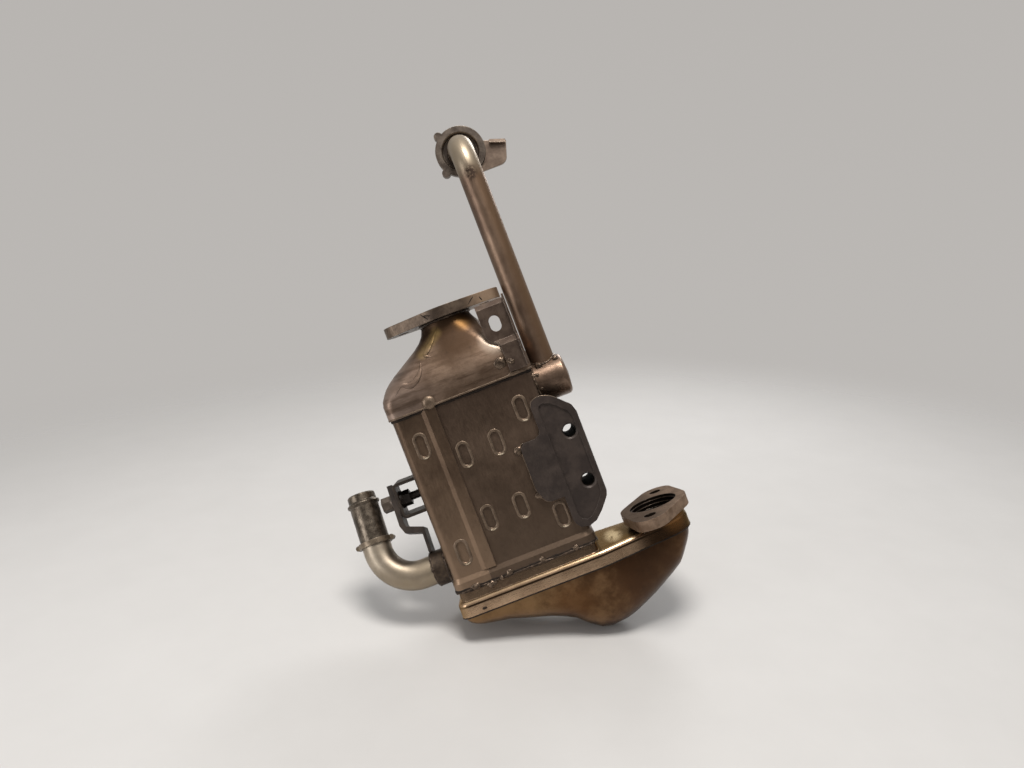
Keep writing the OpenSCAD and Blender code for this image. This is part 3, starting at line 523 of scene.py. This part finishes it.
def blob(bm, centre, half, seed, rough=0.3):
    """Lumpy drop of weld metal; half holds its half sizes in millimetres."""
    for v in bmesh.ops.create_icosphere(bm, subdivisions=3, radius=1)["verts"]:
        n = v.co.normalized()
        swell = 1 + rough * noise.noise(n * 1.7 + Vector((seed * 3.1, seed * 1.7, seed)))
        v.co = centre + Vector(n[k] * half[k] for k in range(3)) * swell / 1000


def circle(centre, axis, r, count):
    """Closed ring path about an axis through a drawing point."""
    middle = at(*centre)
    a = Vector(axis).orthogonal().normalized()
    b = Vector(axis).normalized().cross(a)
    angles = [2 * math.pi * i / count for i in range(count)]
    outs = [a * math.cos(angle) + b * math.sin(angle) for angle in angles]
    return [(middle + out * r / 1000, out) for out in outs]


def around_casing(out, z, step=2.0):
    """Closed path round the casing, at that distance outside its walls."""
    r = CASING_R + out
    path = []
    for turn, (sx, sy) in enumerate(((1, 1), (-1, 1), (-1, -1), (1, -1))):
        corner = Vector((CASING_X + sx * (CASING_W / 2 + out - r), sy * (CASING_D / 2 + out - r), z))
        for k in range(7):
            a = math.radians(90 * turn + 15 * k)
            outward = Vector((math.cos(a), math.sin(a), 0))
            path.append((corner + outward * r, outward))
    full = []
    for i, (p, up) in enumerate(path):
        q, end = path[(i + 1) % len(path)]
        parts = max(1, round((q - p).length / step))
        full += [(at(*p.lerp(q, k / parts)), up.lerp(end, k / parts).normalized()) for k in range(parts)]
    return full


def tree_of(name):
    mesh = nodes[name].data
    return BVHTree.FromPolygons([v.co for v in mesh.vertices], [list(f.vertices) for f in mesh.polygons])


def seen(tree, x, z):
    """Where the line of sight through a front-plane point meets a node, with the outward direction there."""
    spot, out, _, _ = tree.ray_cast(EYE, (at(x, FRONT_Y, z) - EYE).normalized())
    return spot, (out if out.dot(EYE - spot) > 0 else -out)


def smooth_line(points, parts=8):
    """Points on a curve through the given ones."""
    line = [points[0]]
    last = len(points) - 1
    for i in range(last):
        a, b, c, d = (Vector(points[min(max(k, 0), last)]) for k in (i - 1, i, i + 1, i + 2))
        for k in range(1, parts + 1):
            t = k / parts
            curve = 2 * b + (c - a) * t + (2 * a - 5 * b + 4 * c - d) * t * t + (3 * b - a - 3 * c + d) * t ** 3
            line.append(tuple(0.5 * curve))
    return line


def tack_welds():
    """Tacks on the casing's lower edge and on the bracket's tongue."""
    bm = bmesh.new()
    # x, z, half width and half height
    tacks = ((-43.6, -71.3, 4.4, 2.6), (-32.2, -74.0, 4.0, 2.8), (-24.4, -72.3, 2.0, 1.7),
             (-17.5, -70.6, 2.8, 2.4), (7.9, -70.3, 2.8, 2.4), (32.8, -71.0, 2.8, 2.2))
    for i, (x, z, w, h) in enumerate(tacks):
        for side in (-1, 1):
            blob(bm, at(x, side * (CASING_D / 2 + 1.2), z), (w, 1.6, h), i + 10 * side)
    for i, (x, z) in enumerate(((19.6, 8.2), (22.5, -26.6))):
        blob(bm, at(x, FRONT_Y - 0.3, z), (3.4, 1.3, 3.2), i + 40)
    piece("tack_welds", bm, WELD)


def lower_edge():
    """Bead along the casing's lower edge, with a line of painted shadow above it."""
    bm = bmesh.new()
    bead(bm, around_casing(1.3, CASING_BOTTOM - 0.5), 1.7, 0.8, lumps=0.6, size=3.2, closed=True)
    piece("lower_edge_weld", bm, WELD_DARK)
    # Painted shadow along the casing's lower edge
    bm = bmesh.new()
    bead(bm, around_casing(1.6, CASING_BOTTOM + 0.8), 1.5, 0.25, lumps=0.6, size=3.6, closed=True)
    piece("lower_edge_shadow", bm, DARK_MARK_AND_SHADE)


def neck_welds():
    """Beads under both flanges and two rings in the inlet's bore."""
    bm = bmesh.new()
    for x, z in ((NECK_X, NECK_Z), (INLET_X, INLET_Z)):
        path = circle((x, 0, z - 0.6), UP, NECK_R + 0.2, 96)
        bead(bm, path, 2.2, 1.1, lumps=0.35, size=2.4, closed=True)
    for z in (-70.4, -73.4):
        path = circle((INLET_X, 0, z), UP, INLET_BORE_R - 0.05, 96)
        bead(bm, path, 0.8, 0.4, lumps=0.1, size=4.0, closed=True, sides=8)
    piece("neck_welds", bm, WELD_DARK)


def left_welds():
    """Both ends of the coolant inlet's collar and the feet of the strap."""
    bm = bmesh.new()
    path = circle((LEFT_X - 1.0, ELBOW_Y, ELBOW_Z), (1, 0, 0), 13.2, 72)
    bead(bm, path, 3.4, 1.4, lumps=0.6, size=3.4, closed=True)
    path = circle((LEFT_X - 11.6, ELBOW_Y, ELBOW_Z), (1, 0, 0), ELBOW_R + 0.9, 72)
    bead(bm, path, 2.6, 1.3, lumps=0.4, size=3.0, closed=True)
    for z in (BOLT_Z + STRAP_TOP, BOLT_Z + STRAP_BOTTOM):
        line = [(at(LEFT_X - 0.3, BOLT_Y - 9.5 + 0.95 * k, z), Vector((-1, 0, 0))) for k in range(21)]
        bead(bm, line, 2.6, 1.2, lumps=0.4, size=2.6)
    piece("left_welds", bm, WELD_DARK)


def cup_welds():
    """Root of the coolant cup, the saddle where the pipe enters it, and drops beside them."""
    bm = bmesh.new()
    path = circle((RIGHT_X + 0.6, 0, CUP_Z), (1, 0, 0), CUP_R + 0.2, 80)
    bead(bm, path, 2.4, 1.2, lumps=0.4, size=3.0, closed=True)
    saddle = []
    for i in range(72):
        a = 2 * math.pi * i / 72
        x, y = PIPE_R * math.cos(a), PIPE_R * math.sin(a)
        point = at(PIPE_X + x, y, CUP_Z + math.sqrt(CUP_R ** 2 - y ** 2))
        saddle.append((point, Vector((math.cos(a), math.sin(a), 1)).normalized()))
    bead(bm, saddle, 2.4, 1.2, lumps=0.4, size=3.0, closed=True)
    tree = tree_of("coolant_cup")
    for i, (x, z, r) in enumerate(((55.4, 60.1, 3.0), (68.8, 62.5, 2.2), (51.5, 51.5, 2.6), (51.5, 44, 2.6))):
        blob(bm, tree.find_nearest(at(x, -11, z))[0], (r, r * 0.7, r), i + 60)
    piece("cup_welds", bm, WELD)


def dimple_rims():
    """Raised lips that the pressing left round the support dimples."""
    bm = bmesh.new()
    for x, z in DIMPLES:
        for side in (-1, 1):
            path = []
            for k in range(40):
                a = 2 * math.pi * k / 40
                middle = z + math.copysign(DIMPLE_HALF, math.sin(a + 1e-6))
                point = at(x + DIMPLE_R * math.cos(a), side * CASING_D / 2, middle + DIMPLE_R * math.sin(a))
                path.append((point, Vector((0, side, 0))))
            bead(bm, path, 2.1, 0.34, lumps=0.15, size=4.0, closed=True)
    piece("dimple_rims", bm, PALE_STEEL)


def dimple_highlights():
    """Painted highlights: bright arcs on the lower lips of the dimples."""
    bm = bmesh.new()
    r = DIMPLE_R + 0.05
    for x, z in DIMPLES:
        for side in (-1, 1):
            path = []
            for k in range(17):
                a = math.radians(-150 + 7.5 * k)
                y = side * (CASING_D / 2 + 0.18)
                point = at(x + r * math.cos(a), y, z - DIMPLE_HALF + r * math.sin(a))
                path.append((point, Vector((0, side, 0))))
            bead(bm, path, 1.3, 0.3, lumps=0.1, size=4.0, taper=0.5)
    piece("dimple_highlights", bm, PAINTED_GLINT)


def hood_creases():
    """Wrinkles of the drawn hood."""
    tree = tree_of("upper_hood")
    bm = bmesh.new()
    for line in (((-3, 111), (-8, 106), (-14, 100), (-18, 95.5), (-14, 93)),
                 ((-23, 93), (-25, 87), (-30, 81.5), (-36, 79.5), (-42, 81.5), (-48, 76))):
        path = [seen(tree, x, z) for x, z in smooth_line(line)]
        bead(bm, path, 4.8, 0.55, lumps=0.05, size=9.0, sides=14, taper=0.42)
    piece("hood_creases", bm, LOOKS["upper_hood"])


def skirt():
    """Rolled edge of the hood's skirt, its humps over the casing's lap, and a painted shadow in the gap below it.
    """
    bm = bmesh.new()
    bead(bm, around_casing(1.9, SKIRT_Z + 0.9), 1.1, 0.45, lumps=0.1, size=5.0, closed=True)
    for side in (-1, 1):
        blob(bm, at(-27.5, side * (CASING_D / 2 + 1.4), 63.4), (5.2, 2.6, 5.0), 70 + side, 0.1)
        blob(bm, at(36, side * (CASING_D / 2 + 1.6), 61.4), (4.5, 1.0, 1.8), 75 + side, 0.15)
    piece("skirt_edge", bm, PALE_STEEL)
    # Painted shadow in the gap under the skirt's edge
    bm = bmesh.new()
    bead(bm, around_casing(0.1, SKIRT_Z - 0.8), 2.2, 0.7, lumps=0.35, size=4.0, closed=True)
    piece("skirt_shadow", bm, DARK_MARK_AND_SHADE)


def tab_marks():
    """Spot weld beside the hood tab and the short weld on the tab's edge."""
    bm = bmesh.new()
    blob(bm, seen(tree_of("upper_hood"), 29.5, 71.4)[0], (4.4, 0.9, 4.0), 88, 0.15)
    piece("spot_weld", bm, WELD)
    bm = bmesh.new()
    tree = tree_of("hood_tab")
    for k, (x, z) in enumerate(((36.2, 70.9), (38.0, 69.4))):
        blob(bm, seen(tree, x, z)[0], (2.2, 1.2, 1.5), 90 + k)
    piece("tab_marks", bm, WELD)


def worn_edges():
    """Bright worn edges of the bracket: round its tongue, and along its raised top."""
    bm = bmesh.new()
    tongue = ((-23.5, 12.4), (-26.6, 9), (-26.7, -7), (-26.6, -23), (-23, -31.7), (-19, -33.7), (-9.5, -33.7))
    top = ((-9.3, 30), (-9.2, 35), (-7.3, 38.3), (-1, 39.8), (7, 36.8), (12, 32.3))
    edges = ((tongue, 0.2, 1.1, 0.6, 0.5, 0.2), (top, 3.3, 0.7, 0.3, 0.4, 0.4))
    for outline, proud, width, height, lumps, taper in edges:
        path = [(at(RIGHT_X + x, FRONT_Y - proud, z), Vector((0, -1, 0))) for x, z in smooth_line(outline, 6)]
        bead(bm, path, width, height, lumps, size=3.0, taper=taper)
    piece("worn_edges", bm, PALE_STEEL)


def flange_shade_lines():
    """Lines of painted shade on the side of the outlet flange, where its boss meets the lugs."""
    bm = bmesh.new()
    tree = tree_of("outlet_flange")
    # Painted shade in the hollows between the boss and the lugs
    for line in (((-11, 123.4), (-8.6, 121), (-6.7, 118.2)), ((-9.5, 122.2), (-6.5, 121.2), (-4, 120.2)),
                 ((29, 122.6), (26, 120.4), (23, 117.9)), ((32.6, 120.9), (33.3, 119), (33.8, 117.6))):
        path = [seen(tree, x, z) for x, z in smooth_line(line)]
        bead(bm, path, 0.9, 0.14, lumps=0.5, size=2.0, taper=0.4)
    piece("flange_shade_lines", bm, DARK_MARK_AND_SHADE)


def rim_seam():
    """Dark seam where the lower shell enters the tray's rim, with painted shadow under the rim's edge, and a dark
    mark near its left end.
    """
    bm = bmesh.new()
    level = at(0, 0, RIM_Z).z
    edge = [v.co for v in nodes["lower_tray"].data.vertices if abs(v.co.z - level) < 1e-5]
    edge = [edge[i] for i in geometry.convex_hull_2d([v.xy for v in edge])]
    path = []
    for i, p in enumerate(edge):
        along = (edge[(i + 1) % len(edge)] - edge[i - 1]).normalized()
        path.append((p + Vector((0, 0, -0.0002)), along.cross(UP)))
    # Dark seam with painted shadow under the rim's edge
    bead(bm, path, 1.0, 0.3, lumps=0.2, size=6.0, closed=True, sides=6)
    blob(bm, seen(tree_of("lower_tray"), -43.5, -88.6)[0], (1.9, 0.35, 1.0), 95)
    piece("rim_seam", bm, DARK_MARK_AND_SHADE)


def bolt_thread():
    """Thread of the stay bolt beyond its nut."""
    bm = bmesh.new()
    start, pitch, turns, steps = -69.8, 1.0, 8, 20
    helix = []
    for k in range(turns * steps + 1):
        a = 2 * math.pi * k / steps
        out = Vector((0, math.cos(a), math.sin(a)))
        helix.append((at(start + pitch * k / steps, BOLT_Y, BOLT_Z) + out * THREAD_R / 1000, out))
    bead(bm, helix, 0.75, 0.34, lumps=0.0, size=2.0, sides=6)
    # The nut's black on the thread is painted shade
    piece("bolt_thread", bm, LOOKS["stay_nut"])


def pipe_end_weld():
    """Braze round the pipe where it enters its end fitting."""
    bm = bmesh.new()
    path = circle((PIPE_X, 32.4, FITTING_Z), (0, 1, 0), PIPE_R + 0.4, 72)
    bead(bm, path, 2.0, 0.9, lumps=0.35, size=2.4, closed=True)
    piece("pipe_end_weld", bm, WELD_DARK)


for build in (tack_welds, lower_edge, neck_welds, left_welds, cup_welds, dimple_rims, dimple_highlights, hood_creases,
              skirt, tab_marks, worn_edges, flange_shade_lines, rim_seam, bolt_thread, pipe_end_weld):
    build()

# The cooler leans, so the floor under it is tilted in the part's own frame
FLOOR_UP = Vector((0.350, -0.208, 0.913)).normalized()
FLOOR_R = 1.2


def floor_look():
    """Pale matt floor that fades out far from the part and from below."""
    look = Look("floor")
    clouds = look.noise(60, 6, 0.6)
    look.put(look.bsdf.inputs["Base Color"], look.mix(clouds, srgb(204, 202, 200), srgb(212, 210, 208)))
    look.bsdf.inputs["Roughness"].default_value = 0.75
    look.bsdf.inputs["Specular IOR Level"].default_value = 0.15
    far = look.remap(look.length(look.place), 0.45, 1.1)
    below = look.add("ShaderNodeNewGeometry").outputs["Backfacing"]
    blend = look.add("ShaderNodeMixShader")
    look.put(blend.inputs[0], look.either(far, below))
    look.put(blend.inputs[1], look.bsdf.outputs[0])
    look.put(blend.inputs[2], look.add("ShaderNodeBsdfTransparent").outputs[0])
    look.put(look.tree.nodes["Material Output"].inputs["Surface"], blend.outputs[0])
    return look.mat


mesh = bpy.data.meshes.new("floor")
bm = bmesh.new()
bmesh.ops.create_circle(bm, cap_ends=True, segments=96, radius=FLOOR_R)
bm.to_mesh(mesh)
bm.free()
mesh.materials.append(floor_look())
floor = bpy.data.objects.new("floor", mesh)
lowest = min(FLOOR_UP.dot(v.co) for node in nodes.values() for v in node.data.vertices)
foot = at(30, 0, -130)
foot += FLOOR_UP * (lowest - FLOOR_UP.dot(foot))
side = FLOOR_UP.orthogonal().normalized()
turn = Matrix((side, FLOOR_UP.cross(side), FLOOR_UP)).transposed().to_4x4()
floor.matrix_world = Matrix.Translation(foot) @ turn
bpy.context.collection.objects.link(floor)


def studio_world():
    """The eye sees a pale wall, reflections a darker room with a bright ceiling, and the rest even light."""
    world = bpy.data.worlds.new("studio")
    world.use_nodes = True
    sky = Nodes(world.node_tree)
    direction = sky.add("ShaderNodeTexCoord").outputs["Generated"]
    ray = sky.add("ShaderNodeLightPath").outputs
    upward, backward = sky.dot(direction, FLOOR_UP), sky.dot(direction, (0, 1, 0))
    wall = sky.mix(sky.remap(upward, -0.3, 0.7), (0.50, 0.48, 0.46, 1), (0.46, 0.44, 0.42, 1))
    room = sky.mix(sky.remap(backward, -0.75, 0.45), (0.20, 0.19, 0.18, 1), (0.50, 0.48, 0.45, 1))
    room = sky.mix(sky.remap(upward, 0.2, 0.95, 0.0, 0.8), room, (0.95, 0.93, 0.90, 1))
    shown = sky.mix(ray["Is Glossy Ray"], wall, room)
    direct = sky.either(ray["Is Camera Ray"], sky.either(ray["Is Glossy Ray"], ray["Is Transmission Ray"]))
    sky.put(sky.tree.nodes["Background"].inputs["Color"], sky.mix(direct, (0.36, 0.36, 0.36, 1), shown))
    return world


def face(obj, target, up):
    """Points an object's -Z at a target, with its +Y towards up."""
    ahead = (target - obj.location).normalized()
    right = ahead.cross(up).normalized()
    obj.rotation_euler = Matrix((right, right.cross(ahead), -ahead)).transposed().to_euler()


def lamp(name, offset, size, power, colour=(1, 1, 1)):
    """Soft round lamp, placed in metres from the middle of the part and aimed at it."""
    middle = at(10, 0, 10)
    data = bpy.data.lights.new(name, "AREA")
    data.shape = "DISK"
    data.size = size
    data.energy = power
    data.color = colour
    obj = bpy.data.objects.new(name, data)
    obj.location = middle + Vector(offset)
    bpy.context.collection.objects.link(obj)
    face(obj, middle, UP)


scene = bpy.context.scene
scene.view_settings.view_transform = "Standard"
scene.world = studio_world()
lamp("key", (0.35, -0.55, 0.95), 0.45, 12.0, (1.0, 0.97, 0.93))
lamp("fill", (-0.95, -0.65, 0.35), 0.6, 4.0)
lamp("rim", (0.6, 0.8, 0.6), 0.5, 4.0)

camera_data = bpy.data.cameras.new("camera")
camera_data.sensor_width = 36.0
camera_data.lens = 27.7
camera_data.clip_start = 0.01
camera = bpy.data.objects.new("camera", camera_data)
bpy.context.collection.objects.link(camera)
camera.location = EYE
face(camera, AIM, Vector((math.sin(LEAN), 0, math.cos(LEAN))))
scene.camera = camera
